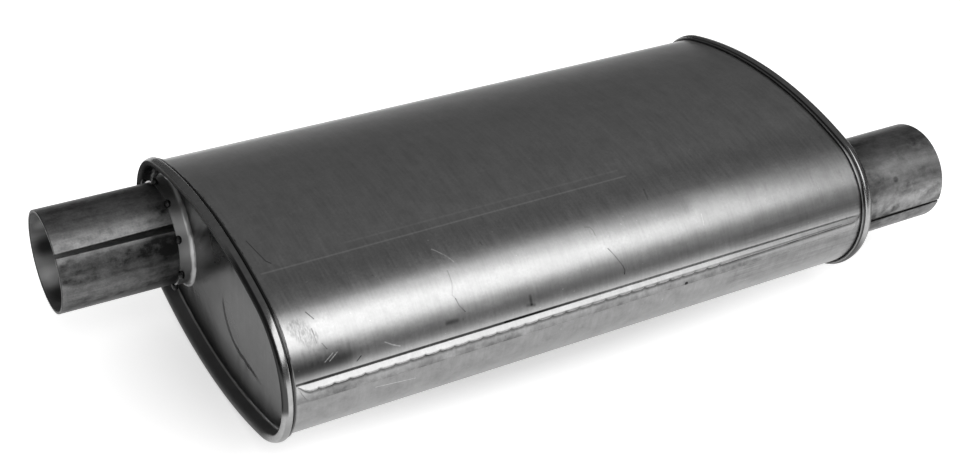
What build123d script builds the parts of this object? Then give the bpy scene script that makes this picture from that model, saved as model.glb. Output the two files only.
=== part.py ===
from build123d import *
import math
import os

# An oval exhaust muffler with offset necks, lying on its flat side as it would on a bench.
# Millimetres. X runs along the body from the inlet (-X) to the outlet (+X), +Z is up.
# The origin is on the ground, below the middle of the body.

# Body outline: the outer skin of the outer wrap is four tangent arcs
body_length = 365.6
body_width = 200.4
body_height = 100.0
side_radius = 41.4

# Sheet thicknesses, and the gap left between sheets that lie on each other
wrap_gauge = 0.7
head_gauge = 0.9
baffle_gauge = 0.9
neck_gauge = 1.5
tube_gauge = 1.2
layer_gap = 0.05

# Rim: each head's edge is rolled over the outer wrap's hem and pressed down behind it
rim_width = 7.4
rim_panel_end = 5.3
nose_flats = 3
hem_opening = 0.9
hem_end = 5.0

# Heads
head_depth = 8.2
head_land = 2.0
collar_setback = 0.1
collar_bend = 2.0
pad_length = 78.0
pad_height = 44.0
pad_rise = 0.6
pad_slope_width = 2.0
pad_middle = 45.0

# Lock seam of the outer wrap, on the near side: the upper sheet ramps out over the hooks and folds back below
seam_width = 9.5
seam_above_middle = 4.45
seam_ramp = 30.0
seam_clear_of_rim = 0.4

# Inner wrap: its edges stop short of each other on the top, further apart at the outlet end
inner_edge_from_middle = 54.5
inner_gap_inlet = 0.6
inner_gap_outlet = 8.0

# Necks
neck_diameter = 57.15
neck_from_side = 37.2
neck_reach = 64.0
neck_inside = 15.0
inlet_slit_angle = 142.0
inlet_slit_mouth = 1.5
inlet_slit_inside = 2.9
outlet_slit_angle = -169.0
outlet_slit = 0.9

# Tack welds where the necks leave the collars
weld_count = 9
weld_first_angle = 117.0
weld_width = 4.4
weld_leg = 1.9
weld_height = 1.7

# Flow tubes: the outer two slip over the necks' inner ends, and the return tube lies between them
tube_overlap = 12.0
tube_spacing = 3.35
tube_past_baffle = 16.0
slot_count = 3
slot_length = 24.0
slot_width = 4.0
slot_margin = 34.0

# Baffles: places along the body, and their flanges
baffle_places = {"inlet_baffle": -112.0, "outlet_baffle": 108.0}
baffle_flange = 8.0


# Worked out from the sizes above
half_length = body_length / 2
side_centre = body_width / 2 - side_radius
half_height = body_height / 2
crown_radius = (side_centre**2 + half_height**2 - side_radius**2) / (2 * (half_height - side_radius))
crown_centre = crown_radius - half_height
tangent_angle = math.degrees(math.atan2(crown_centre, side_centre))

neck_radius = neck_diameter / 2
neck_offset = body_width / 2 - neck_from_side
neck_mouth = half_length + neck_reach
neck_end = half_length - head_depth - neck_inside
tube_radius = neck_radius + layer_gap + tube_gauge
return_radius = neck_offset - tube_radius - tube_spacing

# Middles of the sheets in the rim, as heights above the outer wrap's skin, from the inside out
inner_wrap_top = -wrap_gauge - layer_gap
head_wall = inner_wrap_top - wrap_gauge - layer_gap - head_gauge / 2
wrap_wall = -wrap_gauge / 2
rim_foot = layer_gap + head_gauge / 2
wrap_hem = hem_opening + wrap_gauge / 2
rim_panel = hem_opening + wrap_gauge + layer_gap + head_gauge / 2
nose_radius = (rim_panel - head_wall) / 2
nose_centre = nose_radius + head_gauge / 2
nose_turn = 180 / (nose_flats + 1)
wrap_end = nose_centre - (nose_radius - head_gauge / 2) * math.tan(math.radians(nose_turn / 2)) + layer_gap
rim_top = rim_panel + head_gauge / 2
ground_to_middle = half_height + rim_top


def cos(degrees):
    return math.cos(math.radians(degrees))


def sin(degrees):
    return math.sin(math.radians(degrees))


def sheet_sides(corners, gauge):
    """The two faces of a folded sheet seen edge on, from the corners of its middle line, each corner mitred."""
    points = [Vector(*corner) for corner in corners]
    flats = [(there - here).normalized() for here, there in zip(points, points[1:])]
    normals = [Vector(-flat.Y, flat.X) for flat in flats]
    pairs = zip([normals[0]] + normals, normals + [normals[-1]])
    mitres = [(before + after) * (gauge / 2 / (1 + before.dot(after))) for before, after in pairs]
    left = [point + mitre for point, mitre in zip(points, mitres)]
    right = [point - mitre for point, mitre in zip(points, mitres)]
    return left, right


def folded_sheet(corners, gauge):
    left, right = sheet_sides(corners, gauge)
    return make_face(Polyline(*left, *reversed(right), close=True))


def around_body(section):
    """Carries a wall's section round the oval. Its x is the place along the body, its y the height above the skin."""
    arcs = [
        (side_centre, 0, side_radius, -tangent_angle, 2 * tangent_angle),
        (0, -crown_centre, crown_radius, tangent_angle, 180 - 2 * tangent_angle),
        (-side_centre, 0, side_radius, 180 - tangent_angle, 2 * tangent_angle),
        (0, crown_centre, crown_radius, 180 + tangent_angle, 180 - 2 * tangent_angle),
    ]
    pieces = []
    for y, z, radius, first, sweep in arcs:
        start = Plane((0, y, z), x_dir=(1, 0, 0), z_dir=(0, -sin(first), cos(first)))
        pieces.append(revolve(start * Pos(0, radius) * section, Axis((0, y, z), (1, 0, 0)), sweep))
    return Part() + pieces


def round_body(height, first, last):
    """The outline's edges at a height above the skin, from one angle of the near side down and round to another."""
    side, crown = side_radius + height, crown_radius + height
    bottom, top = 180 + tangent_angle, 180 - tangent_angle
    return [
        CenterArc((-side_centre, 0), side, first, bottom - first),
        CenterArc((0, crown_centre), crown, bottom, top - tangent_angle),
        CenterArc((side_centre, 0), side, -tangent_angle, 2 * tangent_angle),
        CenterArc((0, -crown_centre), crown, tangent_angle, top - tangent_angle),
        CenterArc((-side_centre, 0), side, top, last - top),
    ]


def oval(height):
    return Plane.YZ * make_face(round_body(height, 180, 180))


def about_x(section, y, sweep=360):
    """Turns a section, x along the body and y from the axis, about the line along the body at y."""
    return Pos(0, y) * revolve(section, Axis.X, sweep)


def pipe(first, last, radius, gauge, y):
    """A round pipe along the body."""
    wall = Circle(radius) - Circle(radius - gauge)
    return Pos(first, y) * extrude(Plane.YZ * wall, last - first)


def rim():
    """The head's edge: recess wall, nose, outer panel, and the raw edge pressed down behind the wrap's hem."""
    reach = nose_radius / cos(nose_turn / 2)
    nose_middle = (head_wall + rim_panel) / 2
    angles = [nose_turn * (place + 0.5) - 90 for place in range(nose_flats + 1)]
    face = head_depth + head_gauge / 2
    corners = [
        (face, head_wall - head_land),
        (face, head_wall),
        *[(nose_centre - reach * cos(angle), nose_middle + reach * sin(angle)) for angle in angles],
        (rim_panel_end, rim_panel),
        (rim_width - head_gauge / 2, rim_foot),
    ]
    outer, inner = sheet_sides(corners, head_gauge)
    inner = inner[:3] + inner[nose_flats + 2:]  # out of sight, the fold's inside is square
    return around_body(make_face(Polyline(*outer, *reversed(inner), close=True)))


def collar():
    """The round collar drawn out of the head towards the neck's mouth."""
    radius = neck_radius + layer_gap + head_gauge / 2
    face = head_depth + head_gauge / 2
    corners = [
        (face, radius + collar_bend + head_land),
        (face, radius + collar_bend),
        (face - collar_bend, radius),
        (collar_setback, radius),
    ]
    return about_x(folded_sheet(corners, head_gauge), neck_offset)


def head():
    """The inlet head, its outer face towards -X. The outlet head is the same stamping turned round."""
    land = head_wall - head_land
    hole = neck_radius + layer_gap + head_gauge / 2 + collar_bend + head_land
    plate = Pos(head_depth) * extrude(oval(land), head_gauge)
    plate -= Pos(head_depth, neck_offset) * extrude(Plane.YZ * Circle(hole), head_gauge)
    foot = Plane.YZ * SlotOverall(pad_length, pad_height)
    top = Plane.YZ * SlotOverall(pad_length - 2 * pad_slope_width, pad_height - 2 * pad_slope_width)
    pad = Pos(head_depth, -pad_middle) * loft([foot, Pos(-pad_rise) * top])
    plate = plate - Pos(head_gauge) * pad + pad
    return Pos(-half_length) * (plate + rim() + collar())


def seam_angle(along):
    """The angle on the near side of a place in the lock seam, measured down the skin from the seam's middle."""
    return 180 - math.degrees((seam_above_middle - along) / side_radius)


def seam_point(along, height):
    angle = seam_angle(along)
    return (-side_centre + (side_radius + height) * cos(angle), (side_radius + height) * sin(angle))


def seam_layer(first, last, height):
    """One face of a sheet that runs down the seam at a height above the skin."""
    start = seam_angle(first)
    return CenterArc((-side_centre, 0), side_radius + height, start, seam_angle(last) - start)


def seam_fold(along, height, radius, reach):
    """A half-round fold about a point of the seam, bulging down or up the skin by its reach."""
    outermost = seam_point(along + reach, height)
    return ThreePointArc(seam_point(along, height - radius), outermost, seam_point(along, height + radius))


def seamed_section():
    """The outer wrap across the body: one sheet whose two edges hook into each other outside the skin."""
    g, gap = wrap_gauge, layer_gap
    fold_in, fold_out = g / 2 + gap, 1.5 * g + gap
    low_fold_height, high_fold_height = fold_in, fold_in + g + gap
    root, edge = -seam_width / 2, seam_width / 2
    seam_top = 3 * (g + gap)
    steepness = math.tan(math.radians(seam_ramp))
    shoulder = root + seam_top / steepness
    mitre = g * math.tan(math.radians(seam_ramp / 2))
    lower = edge - fold_out
    upper = root + mitre + (low_fold_height + g) / steepness + (fold_out + gap) / sin(seam_ramp)
    upper_sheet = [
        seam_layer(upper, lower, gap),
        Line(seam_point(upper, gap), seam_point(upper, gap + g)),
        seam_layer(upper, lower, gap + g),
        seam_fold(lower, high_fold_height, fold_in, fold_in),
        seam_fold(lower, high_fold_height, fold_out, fold_out),
        seam_layer(shoulder + mitre, lower, seam_top - g),
        seam_layer(shoulder, lower, seam_top),
        Line(seam_point(shoulder + mitre, seam_top - g), seam_point(root + mitre, -g)),
        Line(seam_point(shoulder, seam_top), seam_point(root, 0)),
    ]
    lower_sheet = [
        seam_fold(upper, low_fold_height, fold_in, -fold_in),
        seam_fold(upper, low_fold_height, fold_out, -fold_out),
        seam_layer(upper, lower, 2 * gap + g),
        seam_layer(upper, lower, 2 * gap + 2 * g),
        Line(seam_point(lower, 2 * gap + g), seam_point(lower, 2 * gap + 2 * g)),
    ]
    inside = round_body(-g, seam_angle(upper), seam_angle(root + mitre))
    outside = round_body(0, seam_angle(upper), seam_angle(root))
    return make_face(upper_sheet + lower_sheet + inside + outside)


def outer_shell():
    """The outer wrap: lock-seamed along the near side, its ends turned out and back into open hems."""
    seam_start = rim_width + seam_clear_of_rim
    half_run = half_length - seam_start
    body = Pos(-half_run) * extrude(Plane.YZ * seamed_section(), 2 * half_run)
    corners = [
        (seam_start, wrap_wall),
        (wrap_end + wrap_gauge / 2, wrap_wall),
        (wrap_end + wrap_gauge / 2, wrap_hem),
        (hem_end, wrap_hem),
    ]
    hem = Pos(-half_length) * around_body(folded_sheet(corners, wrap_gauge))
    return body + hem + Rot(0, 0, 180) * hem


def inner_shell():
    """The inner wrap: a second sheet inside the first, open along a tapering gap on the top."""
    half_run = half_length - wrap_end
    sleeve = extrude(oval(inner_wrap_top) - oval(inner_wrap_top - wrap_gauge), half_run, both=True)
    near = -inner_edge_from_middle
    corners = [
        (-half_run, near),
        (half_run, near),
        (half_run, near + inner_gap_outlet),
        (-half_run, near + inner_gap_inlet),
    ]
    gap = extrude(make_face(Polyline(*corners, close=True)), half_height)
    return sleeve - gap


def slit(first, last, gap_first, gap_last, angle):
    """The gap between the rolled neck's edges, as a wedge cut through its wall at one angle."""
    corners = [(first, -gap_first / 2), (last, -gap_last / 2), (last, gap_last / 2), (first, gap_first / 2)]
    return Rot(angle - 90, 0, 0) * extrude(make_face(Polyline(*corners, close=True)), neck_diameter)


def inlet_neck():
    """A neck rolled from strip, its edges left apart, the gap wider towards the body."""
    wall = pipe(-neck_mouth, -neck_end, neck_radius, neck_gauge, 0)
    wall -= slit(-neck_mouth, -neck_end, inlet_slit_mouth, inlet_slit_inside, inlet_slit_angle)
    return Pos(0, neck_offset) * wall


def outlet_neck():
    wall = pipe(neck_end, neck_mouth, neck_radius, neck_gauge, 0)
    wall -= slit(neck_end, neck_mouth, outlet_slit, outlet_slit, outlet_slit_angle)
    return Pos(0, -neck_offset) * wall


def neck_welds():
    """Tack welds laid in the corner between the inlet neck and the end of its collar."""
    end = collar_setback
    section = Polyline(
        (end, neck_radius),
        (end, neck_radius + weld_height),
        (end - weld_leg / 2, neck_radius + weld_height),
        (end - weld_leg, neck_radius),
        close=True,
    )
    sweep = math.degrees(weld_width / neck_radius)
    tack = Rot(-sweep / 2, 0, 0) * revolve(make_face(section), Axis.X, sweep)
    angles = [weld_first_angle - 90 + 360 / weld_count * place for place in range(weld_count)]
    return Pos(-half_length, neck_offset) * Compound([Rot(angle, 0, 0) * tack for angle in angles])


def flow_tube(first, last, y, radius):
    """A slotted pipe. The slots are in the stretch between the baffles."""
    wall = pipe(first, last, radius, tube_gauge, y)
    slots_from = min(baffle_places.values()) + slot_margin
    slots_to = max(baffle_places.values()) - slot_margin
    pitch = (slots_to - slots_from) / (slot_count - 1)
    bar = Box(slot_length, slot_width, 3 * radius)
    return wall - [Pos(slots_from + pitch * place, y) * bar for place in range(slot_count)]


def baffle():
    """A flanged plate across the body with a hole for each flow tube."""
    edge = inner_wrap_top - wrap_gauge - layer_gap
    plate = extrude(oval(edge), baffle_gauge)
    flange = Pos(baffle_gauge) * extrude(oval(edge) - oval(edge - baffle_gauge), baffle_flange - baffle_gauge)
    tubes = {neck_offset: tube_radius, 0: return_radius, -neck_offset: tube_radius}
    for y, radius in tubes.items():
        plate -= Pos(0, y) * extrude(Plane.YZ * Circle(radius + layer_gap), baffle_gauge)
    return plate + flange


def build():
    """Every piece by its name, about the middle of the body."""
    outer_end = neck_end + tube_overlap
    front = min(baffle_places.values()) - tube_past_baffle
    rear = max(baffle_places.values()) + tube_past_baffle
    turned = Rot(0, 0, 180)
    return {
        "outer_shell": outer_shell(),
        "inner_shell": inner_shell(),
        "inlet_head": head(),
        "outlet_head": turned * head(),
        "inlet_neck": inlet_neck(),
        "outlet_neck": outlet_neck(),
        "inlet_neck_welds": neck_welds(),
        "outlet_neck_welds": turned * neck_welds(),
        "inlet_tube": flow_tube(-outer_end, rear, neck_offset, tube_radius),
        "return_tube": flow_tube(front, rear, 0, return_radius),
        "outlet_tube": flow_tube(front, outer_end, -neck_offset, tube_radius),
        **{name: Pos(place) * baffle() for name, place in baffle_places.items()},
    }


os.makedirs("parts", exist_ok=True)
for name, shape in build().items():
    export_step(Pos(0, 0, ground_to_middle) * shape, f"parts/{name}.step")
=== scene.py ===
import bpy
import math
import random
from mathutils import Matrix, Vector


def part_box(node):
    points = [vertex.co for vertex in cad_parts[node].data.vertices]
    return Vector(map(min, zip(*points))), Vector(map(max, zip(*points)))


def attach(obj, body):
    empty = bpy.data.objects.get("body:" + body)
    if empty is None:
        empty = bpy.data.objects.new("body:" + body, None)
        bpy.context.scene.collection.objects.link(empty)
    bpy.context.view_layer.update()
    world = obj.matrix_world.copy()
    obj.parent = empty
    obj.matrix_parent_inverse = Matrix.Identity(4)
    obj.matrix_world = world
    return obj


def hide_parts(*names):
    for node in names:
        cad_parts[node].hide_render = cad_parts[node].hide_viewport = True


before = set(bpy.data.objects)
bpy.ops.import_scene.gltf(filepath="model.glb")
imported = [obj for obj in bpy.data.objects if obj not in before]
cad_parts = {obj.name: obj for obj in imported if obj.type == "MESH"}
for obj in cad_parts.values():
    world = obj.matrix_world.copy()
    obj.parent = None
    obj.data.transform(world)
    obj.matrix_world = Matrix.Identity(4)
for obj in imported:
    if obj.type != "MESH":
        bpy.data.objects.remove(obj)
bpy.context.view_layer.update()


# Flow tubes, baffles and inner wrap
# Three slotted steel pipes, the two flanged plates that hold them across the body, and a rolled sheet
# that lines the outer wrap. They are left as the CAD has them: only a little of them shows, far inside
# the necks.
mm = 0.001
middle_height = (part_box("outlet_head")[0].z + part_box("outlet_head")[1].z) / 2


def add_node(tree, kind, inputs=(), **settings):
    """Adds a shader node. inputs gives its sockets a value or the socket that feeds them."""
    node = tree.nodes.new(kind)
    for name, value in settings.items():
        setattr(node, name, value)
    for socket, value in dict(inputs).items():
        if isinstance(value, bpy.types.NodeSocket):
            tree.links.new(value, node.inputs[socket])
        else:
            node.inputs[socket].default_value = value
    return node


def vector_math(tree, operation, first, second):
    return add_node(tree, "ShaderNodeVectorMath", {0: first, 1: second}, operation=operation)


def number_math(tree, operation, first, second):
    return add_node(tree, "ShaderNodeMath", {0: first, 1: second}, operation=operation).outputs[0]


def effect_group(name, inputs, outputs):
    """An empty shader group with named sockets, each given as its type and, for an input, its value."""
    group = bpy.data.node_groups.new(name, "ShaderNodeTree")
    for socket, (kind, value) in inputs.items():
        group.interface.new_socket(socket, in_out="INPUT", socket_type=kind).default_value = value
    for socket, kind in outputs.items():
        group.interface.new_socket(socket, in_out="OUTPUT", socket_type=kind)
    return group, group.nodes.new("NodeGroupInput"), group.nodes.new("NodeGroupOutput")


drawn_marks, marks_in, marks_out = effect_group(
    "drawn_marks",
    {
        "Place": ("NodeSocketVector", (0, 0, 0)),
        "Stretch": ("NodeSocketVector", (1, 1, 1)),
        "Fineness": ("NodeSocketFloat", 400.0),
        "Contrast": ("NodeSocketFloat", 0.25),
        "Level": ("NodeSocketFloat", 0.5),
    },
    {"Marks": "NodeSocketFloat"},
)
stretched = vector_math(drawn_marks, "MULTIPLY", marks_in.outputs["Place"], marks_in.outputs["Stretch"])
grain = add_node(
    drawn_marks,
    "ShaderNodeTexNoise",
    {
        "Vector": stretched.outputs[0],
        "Scale": marks_in.outputs["Fineness"],
        "Detail": 5.0,
        "Roughness": 0.65,
    },
)
level, contrast = marks_in.outputs["Level"], marks_in.outputs["Contrast"]
low_grain = number_math(drawn_marks, "SUBTRACT", level, contrast)
high_grain = number_math(drawn_marks, "ADD", level, contrast)
spread = add_node(
    drawn_marks,
    "ShaderNodeMapRange",
    {"Value": grain.outputs["Fac"], "From Min": low_grain, "From Max": high_grain},
)
drawn_marks.links.new(spread.outputs[0], marks_out.inputs["Marks"])


def blank_steel(name):
    """A metal material, its Principled shader, and the place from the body's middle that marks go by."""
    material = bpy.data.materials.new(name)
    material.use_nodes = True
    tree = material.node_tree
    shader = tree.nodes["Principled BSDF"]
    shader.inputs["Metallic"].default_value = 1.0
    origin_place = tree.nodes.new("ShaderNodeTexCoord").outputs["Object"]
    from_middle = vector_math(tree, "SUBTRACT", origin_place, (0, 0, middle_height))
    return material, tree, shader, from_middle.outputs[0]


def marks(tree, place, stretch, fineness, contrast=0.25, level=0.5):
    """Noise marks, finer with fineness and drawn out where stretch is small."""
    group = add_node(tree, "ShaderNodeGroup", node_tree=drawn_marks)
    tree.links.new(place, group.inputs["Place"])
    group.inputs["Stretch"].default_value = stretch
    group.inputs["Fineness"].default_value = fineness
    group.inputs["Contrast"].default_value = contrast
    group.inputs["Level"].default_value = level
    return group.outputs["Marks"]


def between(tree, mask, low, high):
    """A number or colour that runs from low to high with the mask."""
    if isinstance(low, tuple) or isinstance(low, bpy.types.NodeSocketColor):
        mix = add_node(tree, "ShaderNodeMix", data_type="RGBA")
        for socket, value in ((0, mask), (6, low), (7, high)):
            if isinstance(value, bpy.types.NodeSocket):
                tree.links.new(value, mix.inputs[socket])
            else:
                mix.inputs[socket].default_value = value
        return mix.outputs[2]
    ranged = add_node(tree, "ShaderNodeMapRange", {"Value": mask, "To Min": low, "To Max": high})
    return ranged.outputs[0]


def grey(tone):
    return (tone, tone, tone, 1)


inner_steel, tree, shader, place = blank_steel("inner_steel")
pipe_marks = marks(tree, place, (0.05, 1, 1), 500.0)
tree.links.new(between(tree, pipe_marks, grey(0.22), grey(0.30)), shader.inputs["Base Color"])
tree.links.new(between(tree, pipe_marks, 0.38, 0.52), shader.inputs["Roughness"])

for node in ("inner_shell", "inlet_tube", "return_tube", "outlet_tube", "inlet_baffle", "outlet_baffle"):
    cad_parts[node].data.materials.clear()
    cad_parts[node].data.materials.append(inner_steel)


# Heads
# Each end of the body is a pressed steel plate. Its edge is rolled over the outer wrap's hem and
# pressed down behind it, and a round collar is drawn out of it for the neck.
half_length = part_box("outlet_head")[1].x
side_radius = 41.4 * mm
half_height = 50.0 * mm
half_width = 100.2 * mm
neck_offset = 63.0 * mm
neck_radius = 28.575 * mm
side_centre = half_width - side_radius
crown_radius = (side_centre**2 + half_height**2 - side_radius**2) / (2 * (half_height - side_radius))
crown_centre = crown_radius - half_height
tangent = math.atan2(crown_centre, side_centre)

head_depth = 8.2 * mm
rim_top = 2.55 * mm
recess_wall = -2.4 * mm
nose_radius = (rim_top - recess_wall) / 2
recess_corner = 1.3 * mm
land = 1.5 * mm
crest_place = 4.2 * mm
crease_place = 5.3 * mm
crease_height = 1.3 * mm
raw_edge_place = 7.3 * mm
raw_edge_height = 1.25 * mm
collar_end = 0.1 * mm
collar_bend = 2.4 * mm
collar_wall = neck_radius + 0.95 * mm
collar_flat = 1.2 * mm
head_gauge = 0.9 * mm
quarter = math.pi / 2


def start_line(name, place):
    """A new object in edit mode that is one selected vertex."""
    bpy.ops.object.select_all(action="DESELECT")
    bpy.ops.mesh.primitive_plane_add(size=mm, location=(0, 0, 0))
    bpy.context.object.name = name
    bpy.ops.object.mode_set(mode="EDIT")
    bpy.ops.mesh.select_mode(type="VERT")
    bpy.ops.mesh.select_all(action="SELECT")
    bpy.ops.mesh.merge(type="CENTER")
    bpy.ops.transform.translate(value=place)
    return bpy.context.object


def draw_on(move):
    bpy.ops.mesh.extrude_vertices_move(TRANSFORM_OT_translate={"value": move})


def turn_on(angle, centre, axis, steps):
    """Spins what is selected by the right-hand rule. The operator itself turns the other way."""
    bpy.ops.mesh.spin(steps=steps, angle=-angle, center=centre, axis=axis)


def sweep_round_body(side_steps, crown_steps):
    """Carries the selected line, drawn above the middle of the body, right round the oval."""
    top = (0, 0, middle_height - crown_centre)
    near = (0, -side_centre, middle_height)
    bottom = (0, 0, middle_height + crown_centre)
    far = (0, side_centre, middle_height)
    half_crown = quarter - tangent
    for centre, angle, steps in (
        (top, half_crown, crown_steps),
        (near, 2 * tangent, side_steps),
        (bottom, 2 * half_crown, 2 * crown_steps),
        (far, 2 * tangent, side_steps),
        (top, half_crown, crown_steps),
    ):
        turn_on(angle, centre, (1, 0, 0), steps)
    bpy.ops.mesh.select_all(action="SELECT")
    bpy.ops.mesh.remove_doubles(threshold=0.01 * mm)


def select_where(piece, test):
    """Selects the vertices of the piece in edit mode that pass the test."""
    bpy.ops.mesh.select_all(action="DESELECT")
    bpy.ops.mesh.select_mode(type="VERT")
    bpy.ops.object.mode_set(mode="OBJECT")
    for vertex in piece.data.vertices:
        vertex.select = test(vertex.co)
    bpy.ops.object.mode_set(mode="EDIT")


def finish_mesh(piece, smooth_angle, thickness=0):
    bpy.ops.object.mode_set(mode="EDIT")
    bpy.ops.mesh.select_all(action="SELECT")
    bpy.ops.mesh.remove_doubles(threshold=0.01 * mm)
    bpy.ops.mesh.normals_make_consistent(inside=False)
    bpy.ops.object.mode_set(mode="OBJECT")
    if thickness:
        piece.modifiers.new("gauge", "SOLIDIFY").thickness = thickness
        piece.modifiers["gauge"].offset = -1
        bpy.ops.object.modifier_apply(modifier="gauge")
    bpy.ops.object.shade_smooth_by_angle(angle=math.radians(smooth_angle))


def neck_axis_distance(co):
    return math.hypot(co.y - neck_offset, co.z - middle_height)


# the rim, drawn above the middle of the body from the recess to the raw edge
skin = middle_height + half_height
flat_x = -half_length + head_depth
flat_edge = recess_wall - recess_corner
head = start_line("inlet_head_steel", (flat_x, 0, skin + flat_edge - land))
draw_on((0, 0, land))
turn_on(-quarter, (flat_x - recess_corner, 0, skin + flat_edge), (0, 1, 0), 5)
draw_on((-(head_depth - recess_corner - nose_radius), 0, 0))
turn_on(quarter, (-half_length + nose_radius, 0, skin + recess_wall + nose_radius), (0, 1, 0), 8)
nose_steps = 10
for step in range(nose_steps):
    here, there = (quarter * place / nose_steps for place in (step, step + 1))
    rise = nose_radius * (math.sin(there) - math.sin(here))
    draw_on((crest_place * (math.cos(here) - math.cos(there)), 0, rise))
behind_crest = [
    (crest_place, rim_top),
    (crest_place + 0.35 * mm, rim_top - 0.06 * mm),
    (crest_place + 0.65 * mm, rim_top - 0.36 * mm),
    (crease_place, crease_height),
    (crease_place + 0.15 * mm, crease_height),
    (crease_place + 0.45 * mm, crease_height + 0.35 * mm),
    (crease_place + 0.9 * mm, crease_height + 0.4 * mm),
    (raw_edge_place, raw_edge_height),
]
for (from_end, height), (next_from_end, next_height) in zip(behind_crest, behind_crest[1:]):
    draw_on((next_from_end - from_end, 0, next_height - height))

# how far round the rim each point is: -180 on the plate, 0 on the nose and 90 on the crest
bpy.ops.object.mode_set(mode="OBJECT")
rim_turn = head.data.attributes.new("rim_turn", "FLOAT", "POINT")
bead_middle = Vector((-half_length + nose_radius, 0, skin + recess_wall + nose_radius))
for index, vertex in enumerate(head.data.vertices):
    from_middle = vertex.co - bead_middle
    if from_middle.z < 0 and from_middle.x > 0:
        rim_turn.data[index].value = -90 - 90 * from_middle.x / (head_depth - nose_radius)
    else:
        rim_turn.data[index].value = math.degrees(math.atan2(from_middle.z, -from_middle.x))
bpy.ops.object.mode_set(mode="EDIT")
bpy.ops.mesh.select_all(action="SELECT")
sweep_round_body(72, 24)

# the collar, turned about the neck's axis from the plate to its end
bend_height = middle_height + collar_wall + collar_bend
plate_hole = collar_wall + collar_bend + collar_flat
bpy.ops.mesh.select_all(action="DESELECT")
bpy.ops.object.mode_set(mode="OBJECT")
collar = start_line("inlet_collar", (flat_x, neck_offset, middle_height + plate_hole))
draw_on((0, 0, -collar_flat))
turn_on(quarter, (flat_x - collar_bend, neck_offset, bend_height), (0, 1, 0), 6)
draw_on((-(head_depth - collar_bend - collar_end), 0, 0))
bpy.ops.mesh.select_all(action="SELECT")
turn_on(4 * quarter, (0, neck_offset, middle_height), (1, 0, 0), 96)
bpy.ops.object.mode_set(mode="OBJECT")
collar_turn = collar.data.attributes.new("rim_turn", "FLOAT", "POINT")
for index in range(len(collar.data.vertices)):
    collar_turn.data[index].value = -180
head.select_set(True)
bpy.context.view_layer.objects.active = head
bpy.ops.object.join()

# the flat of the plate, filled in from the recess to the collar
bpy.ops.object.mode_set(mode="EDIT")
bpy.ops.mesh.select_all(action="SELECT")
bpy.ops.mesh.remove_doubles(threshold=0.01 * mm)


def on_flat_edge(co):
    if abs(co.x - flat_x) > 0.01 * mm:
        return False
    near_collar = abs(neck_axis_distance(co) - plate_hole) < 0.05 * mm
    across, up = abs(co.y), abs(co.z - middle_height)
    if across > side_centre and math.atan2(up, across - side_centre) < tangent:
        depth = math.hypot(across - side_centre, up) - side_radius
    else:
        depth = math.hypot(across, up + crown_centre) - crown_radius
    return near_collar or abs(depth - (flat_edge - land)) < 0.05 * mm


select_where(head, on_flat_edge)
bpy.ops.mesh.select_mode(type="EDGE")
bpy.ops.mesh.fill(use_beauty=True)

# the raw edge is wrinkled where it was pressed down
wrinkled_from = -half_length + raw_edge_place - 0.7 * mm


def in_wrinkle(co):
    """Picks places round the raw edge at random, by the seed of the pass."""
    return co.x > wrinkled_from and random.Random(seed + int(co.y * 9000)).random() < 0.6


for seed, offset in ((3, 0.16 * mm), (8, 0.1 * mm)):
    select_where(head, in_wrinkle)
    bpy.ops.transform.vertex_random(offset=offset, uniform=0.5, normal=0.6, seed=seed)
finish_mesh(head, 38, head_gauge)


# the outlet head is the same pressing, turned round
def turned_copy(piece, name):
    """A copy of a finished piece turned half round about the upright through the middle of the body."""
    bpy.ops.object.select_all(action="DESELECT")
    piece.select_set(True)
    bpy.context.view_layer.objects.active = piece
    bpy.ops.object.duplicate()
    copy = bpy.context.object
    copy.name = name
    copy.rotation_euler.z = math.pi
    bpy.ops.object.transform_apply(location=False, rotation=True, scale=False)
    return copy


outlet_head = turned_copy(head, "outlet_head_steel")

near_line, line_in, line_out = effect_group(
    "near_line",
    {
        "Place": ("NodeSocketVector", (0, 0, 0)),
        "Start": ("NodeSocketVector", (0, 0, 0)),
        "End": ("NodeSocketVector", (1, 0, 0)),
        "Inner": ("NodeSocketFloat", 0.0),
        "Outer": ("NodeSocketFloat", 0.001),
    },
    {"Mask": "NodeSocketFloat"},
)
line_start = line_in.outputs["Start"]
from_start = vector_math(near_line, "SUBTRACT", line_in.outputs["Place"], line_start).outputs[0]
whole_line = vector_math(near_line, "SUBTRACT", line_in.outputs["End"], line_start).outputs[0]
along = vector_math(near_line, "DOT_PRODUCT", from_start, whole_line).outputs["Value"]
squared = vector_math(near_line, "DOT_PRODUCT", whole_line, whole_line).outputs["Value"]
share = add_node(near_line, "ShaderNodeMath", {0: along, 1: squared}, operation="DIVIDE", use_clamp=True)
nearest = add_node(
    near_line, "ShaderNodeVectorMath", {0: whole_line, "Scale": share.outputs[0]}, operation="SCALE"
)
apart = vector_math(near_line, "DISTANCE", from_start, nearest.outputs[0])
line_mask = add_node(
    near_line,
    "ShaderNodeMapRange",
    {
        "Value": apart.outputs["Value"],
        "From Min": line_in.outputs["Inner"],
        "From Max": line_in.outputs["Outer"],
        "To Min": 1.0,
        "To Max": 0.0,
    },
    interpolation_type="SMOOTHSTEP",
)
near_line.links.new(line_mask.outputs[0], line_out.inputs["Mask"])


def line_on(tree, place, start, end, inner, outer):
    """A mask that is 1 within the inner distance of a line and 0 beyond the outer one. Millimetres."""
    group = add_node(tree, "ShaderNodeGroup", node_tree=near_line)
    tree.links.new(place, group.inputs["Place"])
    for name, point in (("Start", start), ("End", end)):
        x, y, z = point
        group.inputs[name].default_value = (x * mm, y * mm, z * mm)
    group.inputs["Inner"].default_value = inner * mm
    group.inputs["Outer"].default_value = outer * mm
    return group.outputs["Mask"]


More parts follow.
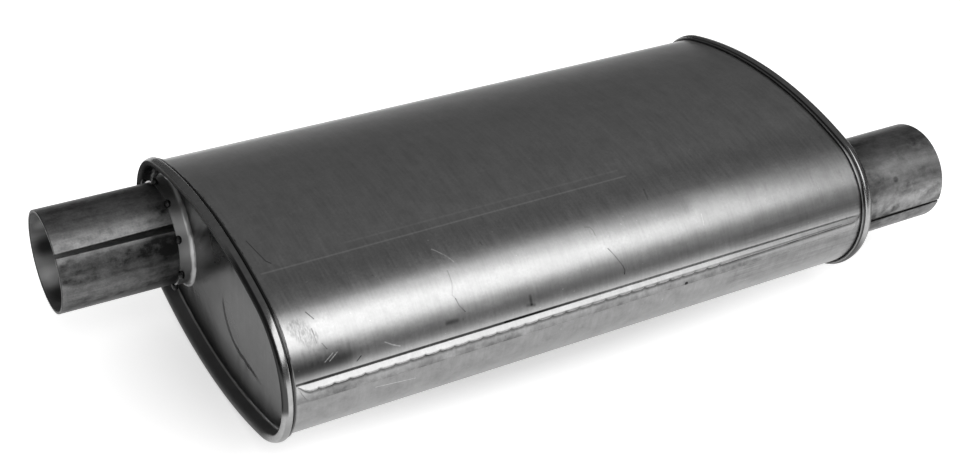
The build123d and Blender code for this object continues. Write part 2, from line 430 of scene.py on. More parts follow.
def add_up(tree, terms):
    """The sum of masks, each given with its weight."""
    total = None
    for mask, weight in terms:
        scaled = number_math(tree, "MULTIPLY", mask, weight)
        total = scaled if total is None else number_math(tree, "ADD", total, scaled)
    return total


def raise_surface(tree, shader, height, distance):
    bump = add_node(tree, "ShaderNodeBump", {"Height": height, "Distance": distance, "Strength": 1.0})
    tree.links.new(bump.outputs["Normal"], shader.inputs["Normal"])


def times(tree, *masks):
    """The product of masks."""
    total = masks[0]
    for mask in masks[1:]:
        total = number_math(tree, "MULTIPLY", total, mask)
    return total


def strongest(tree, masks):
    """The highest of several masks."""
    total = masks[0]
    for mask in masks[1:]:
        total = number_math(tree, "MAXIMUM", total, mask)
    return total


def fade(tree, value, start, end, unit=mm):
    """A mask that runs from 0 to 1 as a measure goes from start to end. Millimetres, or the unit given."""
    limits = {"Value": value, "From Min": start * unit, "From Max": end * unit}
    return add_node(tree, "ShaderNodeMapRange", limits, interpolation_type="SMOOTHSTEP").outputs[0]


def head_steel(name, facing):
    """The heads' satin steel, with painted shade and painted highlights. facing is -1 for the inlet end and
    1 for the outlet end. Millimetres.
    """
    material, tree, shader, place = blank_steel(name)
    fine = marks(tree, place, (1, 1, 1), 260.0, 0.22)
    patches = marks(tree, place, (1, 1, 1), 28.0, 0.2)
    plate = facing * (half_length - head_depth) / mm
    neck_side = -facing * neck_offset / mm
    pad_from, pad_to = (plate, facing * 28, 0), (plate, facing * 62, 0)
    pad = line_on(tree, place, pad_from, pad_to, 19.8, 23.8)
    pad_shown = line_on(tree, place, (plate, facing * 20, -14), (plate, facing * 32, -19), 9, 29)
    flat = line_on(tree, place, (plate, -facing * 25, 0), (plate, facing * 62, 0), 25, 36)
    # painted reflections on the plate: its own tone in these zones, painted dark elsewhere
    painted_lit_plate = strongest(
        tree,
        [
            line_on(tree, place, (plate, facing * 40, -3), (plate, facing * 78, 4), 10, 46),
            line_on(tree, place, (plate, facing * 8, -22), (plate, facing * 40, -24), 0, 26),
        ],
    )
    # a painted highlight high on the plate, on the neck's side
    painted_gleam = line_on(tree, place, (plate, -facing * 34, 33), (plate, -facing * 18, 34), 0, 15)
    low_plate = line_on(tree, place, (plate, -70, -42), (plate, 70, -42), 8, 18)
    collar = line_on(tree, place, (facing * 170, neck_side, 0), (facing * 190, neck_side, 0), 31.8, 32.4)
    axes = add_node(tree, "ShaderNodeSeparateXYZ", {0: place})
    across, up = axes.outputs["Y"], axes.outputs["Z"]
    turn = add_node(tree, "ShaderNodeAttribute", attribute_name="rim_turn").outputs["Fac"]
    # painted reflection of the dark studio on the front of the rim's nose, along the near side and round
    # the ends
    painted_dark_nose = times(
        tree,
        fade(tree, turn, -4, 14, 1),
        fade(tree, turn, 80, 64, 1),
        fade(tree, across, -24, -50),
        fade(tree, up, -6, 2),
    )
    painted_dark_nose_end = times(
        tree,
        fade(tree, turn, -80, -50, 1),
        fade(tree, turn, 94, 80, 1),
        fade(tree, up, 24, 10),
        fade(tree, up, -7, -1),
    )
    # painted shade low on the near side of the rim, which is also rougher there
    low_rim_shade = times(
        tree,
        fade(tree, up, -14, -28),
        fade(tree, across, -90, -70),
        fade(tree, turn, -172, -166, 1),
    )
    # painted shade on the rim's inner edge: a dark tone and a dark specular tint keep it from shining, and
    # it is rougher too
    inner_rim_shade = times(
        tree,
        fade(tree, turn, -160, -150, 1),
        fade(tree, turn, 44, 12, 1),
        fade(tree, up, -8, 4),
    )
    # painted shade on the rim's outer face below the crest, darker at the outlet end
    under_crest_shade = times(tree, fade(tree, up, 0, -16), fade(tree, turn, 46, 66, 1))
    # a painted highlight along the recess corner, low on the near side
    corner_highlight = times(
        tree,
        fade(tree, turn, -178, -172, 1),
        fade(tree, turn, -158, -164, 1),
        fade(tree, up, -14, -28),
    )
    # painted shade in the groove behind the crest
    groove_shade = times(tree, fade(tree, turn, 149, 154, 1), fade(tree, turn, 163, 160, 1))
    raw_edge = fade(tree, turn, 160.5, 162, 1)
    tone = between(tree, fine, grey(0.27), grey(0.35))
    # the plate is painted dark outside its lit zones
    plate_tone = between(tree, painted_lit_plate, grey(0.05), between(tree, fine, grey(0.115), grey(0.14)))
    tone = between(tree, fade(tree, turn, -166, -174, 1), tone, plate_tone)
    tone = between(tree, painted_gleam, tone, grey(0.30))
    tone = between(tree, inner_rim_shade, tone, grey(0.10))
    tone = between(tree, strongest(tree, [painted_dark_nose, painted_dark_nose_end]), tone, grey(0.05))
    tone = between(tree, low_rim_shade, tone, grey(0.19))
    tone = between(tree, corner_highlight, tone, grey(0.42))
    tone = between(tree, under_crest_shade, tone, grey(0.10 if facing > 0 else 0.22))
    tone = between(tree, groove_shade, tone, grey(0.06))
    tone = between(tree, raw_edge, tone, grey(0.20))
    tone = between(tree, collar, tone, grey(0.44))
    tree.links.new(tone, shader.inputs["Base Color"])
    tree.links.new(between(tree, inner_rim_shade, grey(0.8), grey(0.05)), shader.inputs["Specular Tint"])
    rough = add_up(
        tree,
        [
            (patches, 0.08),
            (flat, 0.05),
            (collar, 0.12),
            (low_rim_shade, 0.2),
            (low_plate, 0.2),
            (raw_edge, 0.15),
            (painted_gleam, 0.1),
            (inner_rim_shade, 0.35),
        ],
    )
    tree.links.new(number_math(tree, "ADD", rough, 0.2), shader.inputs["Roughness"])
    relief = [(times(tree, pad, pad_shown), 1.0), (fine, 0.01), (patches, 0.02)]
    raise_surface(tree, shader, add_up(tree, relief), 0.6 * mm)
    return material


for piece, node, facing in ((head, "inlet_head", -1), (outlet_head, "outlet_head", 1)):
    piece.data.materials.clear()
    piece.data.materials.append(head_steel(node + "_finish", facing))
    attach(piece, "root")
    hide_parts(node)


# Outer wrap
# One satin steel sheet rolled round the inner wrap. Its edges hook into each other in a lock seam
# along the near side, which is crimped at an even pitch, and its ends are hemmed under the heads.
wrap_end = 180.9 * mm
wrap_gauge = 0.7 * mm
seam_middle = 4.45 * mm
seam_half_width = 4.75 * mm
seam_height = 2.25 * mm
seam_fold_radius = 1.1 * mm
seam_root = -5.85 * mm
seam_shoulder = -1.65 * mm
crimp_pitch = 8.2 * mm
crimp_cuts = 13
crimp_count = 30
seam_start = -168.2 * mm
seam_end = 168.6 * mm


def seam_place(along, height, x=0.0):
    """A place on the near side, along the skin downwards from the seam's middle and out from it."""
    angle = math.pi - (seam_middle - along) / side_radius
    reach = side_radius + height
    return Vector((x, -side_centre + reach * math.cos(angle), middle_height + reach * math.sin(angle)))


body = start_line("outer_wrap", (-wrap_end, 0, skin))
draw_on((2 * wrap_end, 0, 0))
bpy.ops.mesh.select_all(action="SELECT")
sweep_round_body(72, 24)
finish_mesh(body, 38, wrap_gauge)

# one crimp's length of the seam: root, ramp, shoulder, step, flat and the fold at its lower edge, each
# point with how much painted shade it takes in the step under the shoulder
outline = [
    (seam_root - 0.15 * mm, -0.05 * mm, 0),
    (seam_root, 0, 0),
    (seam_root + 0.2 * mm, 0.04 * mm, 0),
    (seam_root + 1.0 * mm, 0.17 * mm, 0),
    (seam_root + 1.2 * mm, 0.24 * mm, 0),
    (seam_root + 1.4 * mm, 0.36 * mm, 0),
    (seam_shoulder - 0.7 * mm, seam_height - 0.55 * mm, 0),
    (seam_shoulder - 0.3 * mm, seam_height - 0.25 * mm, 0),
    (seam_shoulder, seam_height - 0.15 * mm, 0),
    (seam_shoulder + 0.2 * mm, seam_height - 0.25 * mm, 0.6),
    (seam_shoulder + 0.35 * mm, seam_height - 0.6 * mm, 1),
    (seam_shoulder + 0.7 * mm, seam_height - 0.6 * mm, 1),
    (seam_shoulder + 1.1 * mm, seam_height - 0.42 * mm, 0.35),
    (seam_shoulder + 2.2 * mm, seam_height - 0.2 * mm, 0.15),
    (seam_shoulder + 3.8 * mm, seam_height - 0.08 * mm, 0.1),
    (seam_half_width - seam_fold_radius, seam_height, 0),
]
seam = start_line("lock_seam", seam_place(*outline[0][:2], seam_start))
for here, there in zip(outline, outline[1:]):
    draw_on(seam_place(*there[:2]) - seam_place(*here[:2]))
bpy.ops.object.mode_set(mode="OBJECT")
# each point's painted shade, the third number of the outline
crease_shade = seam.data.attributes.new("crease_shade", "FLOAT", "POINT")
for vertex, (along, height, depth) in enumerate(outline):
    crease_shade.data[vertex].value = depth
bpy.ops.object.mode_set(mode="EDIT")
turn_on(math.pi, seam_place(seam_half_width - seam_fold_radius, seam_fold_radius), (1, 0, 0), 8)
bpy.ops.mesh.select_all(action="SELECT")
bpy.ops.mesh.extrude_region_move(TRANSFORM_OT_translate={"value": (crimp_pitch, 0, 0)})


def lengthwise_edges(piece):
    """Selects the edges that run along the body."""
    bpy.ops.mesh.select_all(action="DESELECT")
    bpy.ops.mesh.select_mode(type="EDGE")
    bpy.ops.object.mode_set(mode="OBJECT")
    points = piece.data.vertices
    for edge in piece.data.edges:
        first, last = (points[index].co for index in edge.vertices)
        edge.select = abs(first.x - last.x) > 0.1 * mm
    bpy.ops.object.mode_set(mode="EDIT")


lengthwise_edges(seam)
bpy.ops.mesh.subdivide(number_cuts=crimp_cuts)
cusp_x = seam_start + crimp_pitch / 2

# each crimp is a cusp pushed up the ramp, with a small hollow below it
up_the_ramp = (seam_place(seam_root, 0) - seam_place(seam_shoulder, seam_height)).normalized()
inwards = (seam_place(0, -seam_height) - seam_place(0, 0)).normalized()
for along, height, reach, move, size in (
    (seam_shoulder + 0.2 * mm, seam_height - 0.3 * mm, 0.6 * mm, up_the_ramp * 0.7 * mm, 2.4 * mm),
    (seam_shoulder + 1.6 * mm, seam_height - 0.3 * mm, 0.75 * mm, inwards * 0.3 * mm, 1.3 * mm),
):
    cusp = seam_place(along, height, cusp_x)
    select_where(seam, lambda co: abs(co.x - cusp_x) < 0.1 * mm and (co - cusp).length < reach)
    bpy.ops.transform.translate(
        value=move,
        use_proportional_edit=True,
        proportional_edit_falloff="SHARP",
        proportional_size=size,
    )
bpy.ops.object.mode_set(mode="OBJECT")
repeat = seam.modifiers.new("crimps", "ARRAY")
repeat.count = crimp_count
repeat.use_relative_offset = False
repeat.use_constant_offset = True
repeat.constant_offset_displace = (crimp_pitch, 0, 0)
repeat.use_merge_vertices = True
repeat.merge_threshold = 0.01 * mm
bpy.ops.object.modifier_apply(modifier="crimps")

# the seam runs on uncrimped to the outlet head, and both ends are squeezed down under the rims
bpy.ops.object.mode_set(mode="EDIT")
squeeze_centre = seam_place(seam_root + 0.6 * mm, -0.4 * mm)
crimped_end = seam_start + crimp_pitch * crimp_count
plain_steps = 10
plain_step = (seam_end - crimped_end) / plain_steps
squeezes = [(1.5 * mm, 0.93), (1.6 * mm, 0.8), (1.6 * mm, 0.6), (1.6 * mm, 0.3), (1.0 * mm, 0.1)]
for end, place, steps in (
    (-1, seam_start, squeezes),
    (1, crimped_end, [(plain_step, 0.975)] * plain_steps + squeezes),
):
    select_where(seam, lambda co: abs(co.x - place) < 0.01 * mm)
    for step, squeeze in steps:
        bpy.ops.mesh.extrude_region_move(TRANSFORM_OT_translate={"value": (end * step, 0, 0)})
        bpy.ops.transform.resize(value=(1, squeeze, squeeze), center_override=squeeze_centre)
finish_mesh(seam, 50)

shell_steel, tree, shader, place = blank_steel("shell_finish")
cross_marks = marks(tree, place, (1, 0.08, 0.08), 650.0, 0.22)
long_marks = marks(tree, place, (0.03, 1, 1), 600.0, 0.2)
fine = marks(tree, place, (1, 1, 1), 700.0, 0.25)
mottle = marks(tree, place, (1, 1, 1), 110.0, 0.22)
patches = marks(tree, place, (1, 1, 1), 16.0, 0.22)
specks = marks(tree, place, (1, 1, 1), 420.0, 0.04, 0.72)
spots = marks(tree, place, (1, 1, 1), 160.0, 0.05, 0.74)

# the near side laid flat: how far along the body, and how far round it from the middle
axes = add_node(tree, "ShaderNodeSeparateXYZ", {0: place})
from_side_axis = add_node(
    tree, "ShaderNodeMath", {0: axes.outputs["Y"], 1: -1.0, 2: -side_centre}, operation="MULTIPLY_ADD"
)
round_angle = number_math(tree, "ARCTAN2", axes.outputs["Z"], from_side_axis.outputs[0])
round_side = number_math(tree, "MULTIPLY", round_angle, side_radius)
flat_place = add_node(tree, "ShaderNodeCombineXYZ", {0: axes.outputs["X"], 1: round_side}).outputs[0]


def drawn_line(tree, points, width):
    """A thin mark on the laid-flat near side, through points given in millimetres."""
    pairs = zip(points, points[1:])
    return strongest(
        tree, [line_on(tree, flat_place, (*start, 0), (*end, 0), 0.04, width) for start, end in pairs]
    )


dark_scratches = strongest(
    tree,
    [
        drawn_line(tree, [(-169.8, 87.6), (-168.2, 81.9), (-166.6, 76.4), (-164.9, 74.7)], 0.55),
        drawn_line(tree, [(-161.0, 43.2), (-158.4, 38.8)], 0.4),
        drawn_line(tree, [(-161.0, 34.6), (-160.7, 27.2)], 0.35),
        drawn_line(tree, [(-158.2, 26.5), (-156.4, 23.2)], 0.4),
        drawn_line(tree, [(-84.7, 28.9), (-83.8, 25.2), (-81.3, 21.4)], 0.55),
        drawn_line(
            tree, [(7.0, 31.6), (9.4, 27.6), (11.5, 23.6), (13.1, 20.7), (13.9, 18.2), (13.4, 16.2)], 0.5
        ),
        drawn_line(tree, [(-142.5, 13.1), (-140.1, 15.0)], 0.5),
    ],
)
faint_scratches = strongest(
    tree,
    [
        drawn_line(tree, [(-0.9, 46.2), (1.8, 45.4), (2.7, 43.3), (2.7, 40.2)], 0.5),
        drawn_line(tree, [(-83.6, 43.7), (-83.9, 37.0), (-85.9, 31.1), (-84.7, 28.9)], 0.5),
        drawn_line(tree, [(-59.5, 54.5), (-59.3, 52.5)], 0.7),
        drawn_line(tree, [(44.4, 59.0), (42.6, 51.9)], 0.9),
    ],
)
light_scratches = strongest(
    tree,
    [
        drawn_line(tree, [(-85.5, 58.2), (-83.6, 56.2), (-80.5, 52.0)], 0.45),
        drawn_line(tree, [(-80.5, 52.0), (-79.0, 49.2), (-78.2, 47.3)], 0.4),
        drawn_line(tree, [(-84.6, 63.9), (-84.4, 63.9)], 0.6),
        drawn_line(tree, [(-158.7, 17.3), (-153.9, 20.5)], 0.4),
        drawn_line(tree, [(-156.4, 17.0), (-151.6, 20.4)], 0.35),
        drawn_line(tree, [(-126.6, 18.3), (-123.2, 16.0), (-119.1, 14.1)], 0.45),
        drawn_line(tree, [(68.9, 35.5), (68.1, 29.3)], 0.45),
        drawn_line(tree, [(-133.0, -5.6), (-110.6, -8.2)], 0.32),
    ],
)
smudges = add_up(
    tree,
    [
        (line_on(tree, flat_place, (-92.0, 18.4, 0), (-86.7, 18.2, 0), 0.1, 2.0), 0.55),
        (line_on(tree, flat_place, (-46.0, 15.0, 0), (-42.2, 14.2, 0), 0.1, 1.5), 0.35),
        (line_on(tree, flat_place, (-44.0, 19.5, 0), (-43.8, 15.0, 0), 0.1, 1.4), 0.5),
        (line_on(tree, flat_place, (51.6, 1.2, 0), (51.8, 1.2, 0), 0.4, 1.1), 3.0),
    ],
)
smudges = times(tree, smudges, between(tree, mottle, 0.45, 1.0))
dark_scratches = times(tree, dark_scratches, between(tree, mottle, 0.35, 1.0))
light_scratches = times(tree, light_scratches, between(tree, fine, 0.1, 1.0))
end_shade = line_on(tree, flat_place, (-182, 16.5, 0), (-150, 18.5, 0), 1.5, 11)
shoulder_shade = line_on(tree, flat_place, (-190, 62, 0), (190, 62, 0), 1, 16)
band_shade = line_on(tree, flat_place, (-190, 44.5, 0), (60, 42.5, 0), 1.5, 9.5)
root_shadow = line_on(tree, flat_place, (-180, 9.8, 0), (30, 9.8, 0), 0.35, 0.95)
# painted shadow along the seam's root, fainter, on towards the outlet end
faint_root_shadow = line_on(tree, flat_place, (-60, 9.8, 0), (180, 9.4, 0), 0.2, 0.8)
ramp_line = line_on(tree, flat_place, (-40, 6.6, 0), (160, 7.2, 0), 0.1, 0.45)
# a painted reflection: the dark band above the seam, where the steel would mirror the dark horizon
painted_horizon = line_on(tree, flat_place, (-180, 16.0, 0), (180, 15.4, 0), 0.5, 6.5)
# painted shade low on the near side, part of it mottled
under_side_shade = line_on(tree, flat_place, (-200, -30, 0), (200, -30, 0), 30, 36.5)
# painted shade just below the seam, mottled
under_seam_shade = line_on(tree, flat_place, (-180, 1.5, 0), (100, 1.5, 0), 2.2, 3.6)
drawn_end = line_on(tree, flat_place, (100, 2, 0), (180, 2, 0), 8, 26)
# painted highlights along two faint ridges, where the inner wrap's edges show through the skin
inner_edge_highlight = line_on(tree, flat_place, (-172, 70.4, 0), (40, 70.4, 0), 0.12, 0.75)
second_edge_highlight = line_on(tree, flat_place, (-125, 75.2, 0), (38, 75.0, 0), 0.1, 0.8)
scuff = line_on(tree, flat_place, (-168.0, 36.5, 0), (-163.5, 30.5, 0), 3.0, 6.5)
scuff_marks = marks(tree, place, (1, 0.25, 0.25), 1500.0, 0.12)
scuffed = times(tree, scuff, scuff_marks)
# painted shade in the gap between the inlet rim and the skin, broken by marks
rim_gap_shade = times(
    tree,
    fade(tree, axes.outputs["X"], -174.3, -174.9),
    marks(tree, place, (1, 1, 1), 330.0, 0.04, 0.55),
    fade(tree, axes.outputs["Y"], -62, -50),
)
# painted shade in the step under the seam's shoulder, mottled
crease_shade_read = add_node(tree, "ShaderNodeAttribute", attribute_name="crease_shade").outputs["Fac"]
# real scratches, smudges, scuffs, spots and streaks together with painted shade and painted reflections,
# all darkening the steel
marks_and_painted_shade = [
    (dark_scratches, 0.8),
    (faint_scratches, 0.25),
    (end_shade, 0.38),
    (shoulder_shade, 0.24),
    (under_side_shade, 0.27),
    (smudges, 1.0),
    (scuffed, 0.3),
    (times(tree, root_shadow, fade(tree, axes.outputs["X"], 25, -60)), 0.75),
    (band_shade, 0.3),
    (faint_root_shadow, 0.3),
    (ramp_line, 0.4),
    (painted_horizon, 0.46),
    (times(tree, under_seam_shade, mottle), 0.3),
    (times(tree, under_side_shade, mottle), 0.32),
    (times(tree, drawn_end, long_marks), 0.25),
    (spots, 0.35),
    (rim_gap_shade, 1.0),
    (times(tree, crease_shade_read, between(tree, mottle, 0.35, 0.95)), 1.0),
]
tone = between(tree, cross_marks, grey(0.31), grey(0.395))
tone = between(tree, times(tree, fine, mottle), tone, grey(0.48))
tone = between(tree, add_up(tree, marks_and_painted_shade), tone, grey(0.02))
# real scratches, specks and a scuff together with painted highlights, all lightening the steel
wear_and_painted_highlights = [
    (light_scratches, 0.45),
    (inner_edge_highlight, 0.22),
    (second_edge_highlight, 0.10),
    (specks, 0.35),
    (scuff, 0.15),
]
tone = between(tree, add_up(tree, wear_and_painted_highlights), tone, grey(1.0))
tree.links.new(tone, shader.inputs["Base Color"])
rough = add_up(
    tree,
    [
        (cross_marks, 0.07),
        (fine, 0.04),
        (patches, 0.04),
        (scuff, 0.10),
        (scuffed, 0.15),
        (light_scratches, 0.25),
    ],
)
tree.links.new(number_math(tree, "ADD", rough, 0.27), shader.inputs["Roughness"])
relief = [
    (cross_marks, 0.008),
    (fine, 0.008),
    (patches, 0.12),
    (scuff_marks, 0.004),
]
raise_surface(tree, shader, add_up(tree, relief), 0.5 * mm)

for piece in (body, seam):
    piece.data.materials.clear()
    piece.data.materials.append(shell_steel)
    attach(piece, "root")
    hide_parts("outer_shell")


# Necks
# Short pipes rolled from steel strip, the butt seam left open. Each stands in its head's collar and
# is held by nine tack welds round the collar's end.
neck_mouth = half_length + 64 * mm
neck_inner_end = half_length - head_depth - 15 * mm
neck_gauge = 1.5 * mm
weld_count = 9
weld_radius = 2.4 * mm


def rolled_neck(name, end, slit_angle, slit_mouth, slit_inside):
    """A slit pipe. end is -1 for the inlet and 1 for the outlet, and the slit's angle is seen from +X."""
    across = -end * neck_offset
    half_slit = slit_mouth / 2 / neck_radius
    first = math.radians(slit_angle) + half_slit
    first_side = across + neck_radius * math.cos(first)
    first_height = middle_height + neck_radius * math.sin(first)
    neck = start_line(name, (end * neck_mouth, first_side, first_height))
    draw_on((end * (neck_inner_end - neck_mouth), 0, 0))
    bpy.ops.mesh.select_all(action="SELECT")
    turn_on(2 * math.pi - 2 * half_slit, (0, across, middle_height), (1, 0, 0), 96)
    middle = math.radians(slit_angle)
    way_round = Vector((0, -math.sin(middle), math.cos(middle)))
    for side in (-1, 1):
        edge_angle = middle + side * half_slit
        corner = Vector(
            (
                end * neck_inner_end,
                across + neck_radius * math.cos(edge_angle),
                middle_height + neck_radius * math.sin(edge_angle),
            )
        )
        select_where(neck, lambda co: (co - corner).length < 0.2 * mm)
        bpy.ops.transform.translate(value=way_round * side * (slit_inside - slit_mouth) / 2)
    finish_mesh(neck, 38, neck_gauge)
    neck.modifiers.new("edges", "BEVEL").width = 0.2 * mm
    neck.modifiers["edges"].segments = 2
    neck.modifiers["edges"].limit_method = "ANGLE"
    neck.modifiers["edges"].angle_limit = math.radians(60)
    bpy.ops.object.modifier_apply(modifier="edges")
    bpy.ops.object.shade_smooth_by_angle(angle=math.radians(50))
    return neck


def tack_welds(name, end, first_angle):
    """Nine lumps of weld metal in the corner between a neck and the end of its collar."""
    random.seed(5 + end)
    lumps = []
    for number in range(weld_count):
        angle = math.radians(first_angle + 360 / weld_count * number + random.uniform(-2, 2))
        reach = neck_radius + 1.3 * mm
        centre = (
            end * (half_length - 0.6 * mm),
            -end * neck_offset + reach * math.cos(angle),
            middle_height + reach * math.sin(angle),
        )
        bpy.ops.object.select_all(action="DESELECT")
        bpy.ops.mesh.primitive_ico_sphere_add(subdivisions=4, radius=weld_radius, location=(0, 0, 0))
        lump = bpy.context.object
        bpy.ops.object.mode_set(mode="EDIT")
        bpy.ops.mesh.select_all(action="SELECT")
        bpy.ops.transform.resize(value=(0.75, random.uniform(0.9, 1.15), random.uniform(0.9, 1.15)))
        bpy.ops.transform.vertex_random(offset=0.12 * mm, uniform=0.4, normal=1.0, seed=number)
        bpy.ops.mesh.vertices_smooth(factor=0.5, repeat=1)
        bpy.ops.transform.translate(value=centre)
        bpy.ops.object.mode_set(mode="OBJECT")
        lumps.append(lump)
    bpy.ops.object.select_all(action="DESELECT")
    for lump in lumps:
        lump.select_set(True)
    bpy.context.view_layer.objects.active = lumps[0]
    bpy.ops.object.join()
    bpy.context.object.name = name
    bpy.ops.object.shade_smooth()
    return bpy.context.object


def neck_line(tree, place, end, angle, inner, outer, start=-30, stop=240):
    """A mask about a line along a neck, at an angle seen from +X. Millimetres."""
    across = -end * neck_offset / mm + neck_radius / mm * math.cos(math.radians(angle))
    up = neck_radius / mm * math.sin(math.radians(angle))
    return line_on(tree, place, (end * start, across, up), (end * stop, across, up), inner, outer)


def neck_finish(name, end, tone_low, tone_high, rough_low, shade_and_stain_zones, bore_light_and_shade):
    """Dull steel with streaks along the pipe, with painted shade outside and painted light and shade in the
    bore.

    A dark zone, of painted shade or of stain, is its angle, reach, fading reach and strength, and may end
    with where it starts and stops.
    A bore zone, a patch of painted light or shade inside the pipe, ends with its tone instead.
    """
    material, tree, shader, place = blank_steel(name)
    streaks = marks(tree, place, (0.08, 1, 1), 330.0, 0.2)
    patches = marks(tree, place, (0.4, 1, 1), 75.0, 0.2)
    blots = marks(tree, place, (0.8, 1, 1), 190.0, 0.16)
    fine = marks(tree, place, (1, 1, 1), 900.0, 0.25)
    axes = add_node(tree, "ShaderNodeSeparateXYZ", {0: place})
    outwards = number_math(tree, "MULTIPLY", axes.outputs["X"], end)
    mouth = neck_mouth / mm
    # painted shade on the pipe's cut edge at the mouth, which keeps it from shining
    cut_edge_shade = fade(tree, outwards, mouth - 0.5, mouth - 0.15)
    axis_side = -end * neck_offset / mm
    inside = line_on(tree, place, (end * 100, axis_side, 0), (end * 300, axis_side, 0), 27.3, 27.9)
    near_collar = fade(tree, outwards, 212, 184)
    tone = between(tree, add_up(tree, [(streaks, 0.5), (fine, 0.5)]), grey(tone_low), grey(tone_high))
    # stains and a darkening near the collar, together with the zones of painted shade
    marks_and_painted_shade = [(times(tree, patches, blots), 0.75), (near_collar, 0.35)]
    marks_and_painted_shade += [(neck_line(tree, place, end, *zone[:3], *zone[4:]), zone[3]) for zone in shade_and_stain_zones]
    tone = between(tree, add_up(tree, marks_and_painted_shade), tone, grey(0.02))
    bore = between(tree, streaks, grey(0.26), grey(0.34))
    # patches of painted light and shade in the bore
    for angle, inner, outer, bore_tone in bore_light_and_shade:
        bore = between(tree, neck_line(tree, place, end, angle, inner, outer), bore, grey(bore_tone))
    tone = between(tree, inside, tone, bore)
    tone = between(tree, cut_edge_shade, tone, grey(0.06))
    tree.links.new(tone, shader.inputs["Base Color"])
    rough = add_up(tree, [(streaks, 0.08), (patches, 0.08), (inside, 0.08)])
    tree.links.new(number_math(tree, "ADD", rough, rough_low), shader.inputs["Roughness"])
    relief = [(streaks, 0.04), (patches, 0.04), (blots, 0.03), (fine, 0.03)]
    raise_surface(tree, shader, add_up(tree, relief), 0.6 * mm)
    return material


weld_metal, tree, shader, place = blank_steel("weld_finish")
crust = marks(tree, place, (1, 1, 1), 900.0, 0.2)
tree.links.new(between(tree, crust, grey(0.006), grey(0.06)), shader.inputs["Base Color"])
tree.links.new(between(tree, crust, 0.3, 0.55), shader.inputs["Roughness"])
raise_surface(tree, shader, crust, 0.15 * mm)

inlet_neck = rolled_neck("inlet_neck_pipe", -1, 142, 2.3 * mm, 4.2 * mm)
outlet_neck = rolled_neck("outlet_neck_pipe", 1, -169, 1.2 * mm, 2.8 * mm)
# the inlet neck's zones of painted shade and stain, and patches of painted light and shade in its bore
inlet_finish = neck_finish(
    "inlet_neck_finish",
    -1,
    tone_low=0.13,
    tone_high=0.31,
    rough_low=0.40,
    shade_and_stain_zones=((70, 4, 16, 0.3), (163, 6, 9, 0.45), (200, 8, 14, 0.1), (222, 4, 14, 0.65)),
    bore_light_and_shade=((14, 1, 6, 0.6), (343, 2, 9, 0.05), (306, 2, 10, 0.72), (280, 2, 9, 0.12)),
)
# the outlet neck's zones of painted shade and stain, the darkest along its slit
outlet_finish = neck_finish(
    "outlet_neck_finish",
    1,
    tone_low=0.26,
    tone_high=0.40,
    rough_low=0.34,
    shade_and_stain_zones=(
        (204, 5, 17, 0.55),
        (90, 6, 20, 0.25),
        (191.5, 0.7, 1.3, 0.9),
        (146, 0.9, 2.2, 0.5, 211.0, 211.5),
    ),
    bore_light_and_shade=(),
)
inlet_welds = tack_welds("inlet_tack_welds", -1, 117)
outlet_welds = tack_welds("outlet_tack_welds", 1, 63)
for piece, node, slot, material in (
    (inlet_neck, "inlet_neck", "neck_steel", inlet_finish),
    (outlet_neck, "outlet_neck", "neck_steel", outlet_finish),
    (inlet_welds, "inlet_neck_welds", "weld_metal", weld_metal),
    (outlet_welds, "outlet_neck_welds", "weld_metal", weld_metal),
):
    piece.data.materials.clear()
    piece.data.materials.append(material)
    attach(piece, "root")
    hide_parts(node)


# Floor, light and camera
# The muffler lies on a wide white floor in a dark studio. One wide softbox hangs above its near side,
# across the camera's view, and gives the bright band on the near shoulder. The camera looks down on
# the near side and the inlet end.
floor_size = 12.0
camera_azimuth = math.radians(-31.74)
camera_elevation = math.radians(33.92)
camera_roll = math.radians(3.65)
camera_distance = 903.3 * mm
camera_across = -15.2 * mm
camera_down = 12.03 * mm
picture_width = 960
focal_pixels = 1588.8

bpy.ops.mesh.primitive_plane_add(size=floor_size, location=(0, 0, -0.2 * mm))
floor = bpy.context.object
floor.name = "floor"
paper = bpy.data.materials.new("white_paper")
paper.use_nodes = True
tree = paper.node_tree
shader = tree.nodes["Principled BSDF"]
shader.inputs["Base Color"].default_value = (0.8, 0.8, 0.8, 1)
shader.inputs["Roughness"].default_value = 0.9

# the paper glows white to the camera and in the steel, and glows less under the muffler: a painted shadow,
# added to the shadow the lamp casts
floor_place = tree.nodes.new("ShaderNodeTexCoord").outputs["Object"]
stretched = vector_math(tree, "MULTIPLY", floor_place, (0.45, 1, 1))
distance = add_node(tree, "ShaderNodeVectorMath", {0: stretched.outputs[0]}, operation="LENGTH")
glow_with_painted_shadow = add_node(
    tree,
    "ShaderNodeMapRange",
    {"Value": distance.outputs["Value"], "From Min": 0.07, "From Max": 0.17, "To Min": 0.45, "To Max": 1.0},
)
glow = add_node(tree, "ShaderNodeEmission", {"Strength": glow_with_painted_shadow.outputs[0]})
seen_white = add_node(tree, "ShaderNodeAddShader", {0: shader.outputs[0], 1: glow.outputs[0]})
ray = tree.nodes.new("ShaderNodeLightPath")
direct = strongest(
    tree, [ray.outputs["Is Camera Ray"], ray.outputs["Is Glossy Ray"], ray.outputs["Is Transmission Ray"]]
)
choice = add_node(tree, "ShaderNodeMixShader", {0: direct, 1: shader.outputs[0], 2: seen_white.outputs[0]})
tree.links.new(choice.outputs[0], tree.nodes["Material Output"].inputs["Surface"])
floor.data.materials.append(paper)

world = bpy.data.worlds.new("dark_studio")
bpy.context.scene.world = world
world.use_nodes = True
tree = world.node_tree
tree.nodes["Background"].inputs["Color"].default_value = (1, 1, 1, 1)

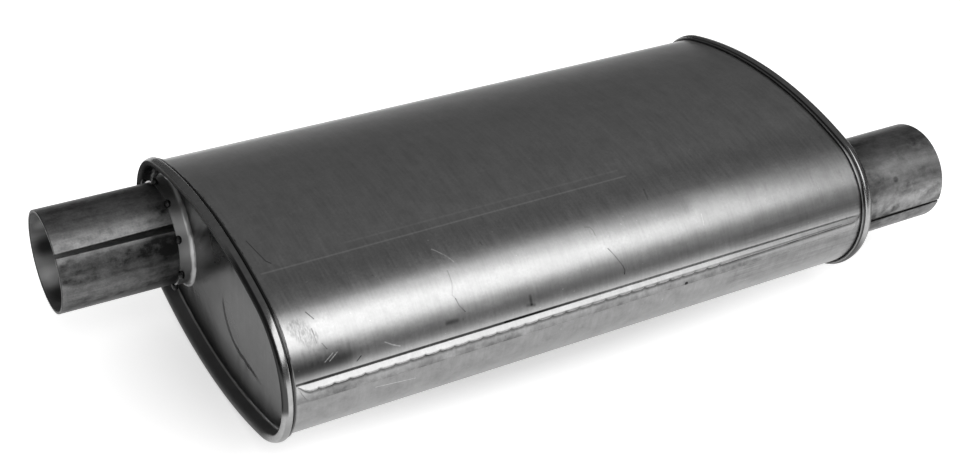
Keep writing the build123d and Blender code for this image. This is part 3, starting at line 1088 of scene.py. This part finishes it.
# a faint light that comes evenly from all round and grows a little upwards
sky_place = tree.nodes.new("ShaderNodeTexCoord").outputs["Generated"]
direction = add_node(tree, "ShaderNodeSeparateXYZ", {0: sky_place})
sky = add_node(
    tree,
    "ShaderNodeMapRange",
    {"Value": direction.outputs["Z"], "From Min": 0.0, "From Max": 0.4, "To Min": 0.07, "To Max": 0.165},
)
tree.links.new(sky.outputs[0], tree.nodes["Background"].inputs["Strength"])


def matrix_from(right, up, back, place):
    """The matrix whose columns are the three axes and the place."""
    columns = [(*axis, 0) for axis in (right, up, back)]
    return Matrix([*columns, (*place, 1)]).transposed()


def softbox(name, place, look_at, along, width, length, power):
    """A rectangular lamp at a place, its length laid along a direction."""
    lamp = bpy.data.lights.new(name, "AREA")
    lamp.shape = "RECTANGLE"
    lamp.size = width
    lamp.size_y = length
    lamp.energy = power
    holder = bpy.data.objects.new(name, lamp)
    bpy.context.scene.collection.objects.link(holder)
    back = (Vector(place) - Vector(look_at)).normalized()
    right = Vector(along).cross(back).normalized()
    up = back.cross(right)
    holder.matrix_world = matrix_from(right, up, back, place)


softbox(
    "large_softbox",
    place=(-0.05, -0.599, 0.750),
    look_at=(-0.288, -0.055, 0.1136),
    along=(-0.273, 0.684, 0.676),
    width=1.30,
    length=0.75,
    power=8.1,
)

camera = bpy.data.objects.new("camera", bpy.data.cameras.new("camera"))
bpy.context.scene.collection.objects.link(camera)
back = Vector(
    (
        math.sin(camera_azimuth) * math.cos(camera_elevation),
        -math.cos(camera_azimuth) * math.cos(camera_elevation),
        math.sin(camera_elevation),
    )
)
level = Vector((math.cos(camera_azimuth), math.sin(camera_azimuth), 0))
upright = back.cross(level)
right = level * math.cos(camera_roll) + upright * math.sin(camera_roll)
up = upright * math.cos(camera_roll) - level * math.sin(camera_roll)
middle = Vector((0, 0, middle_height))
camera_place = middle + back * camera_distance + right * camera_across - up * camera_down
camera.matrix_world = matrix_from(right, up, back, camera_place)
camera.data.sensor_width = 36
camera.data.lens = focal_pixels / picture_width * camera.data.sensor_width
bpy.context.scene.camera = camera
bpy.context.scene.view_settings.view_transform = "Standard"
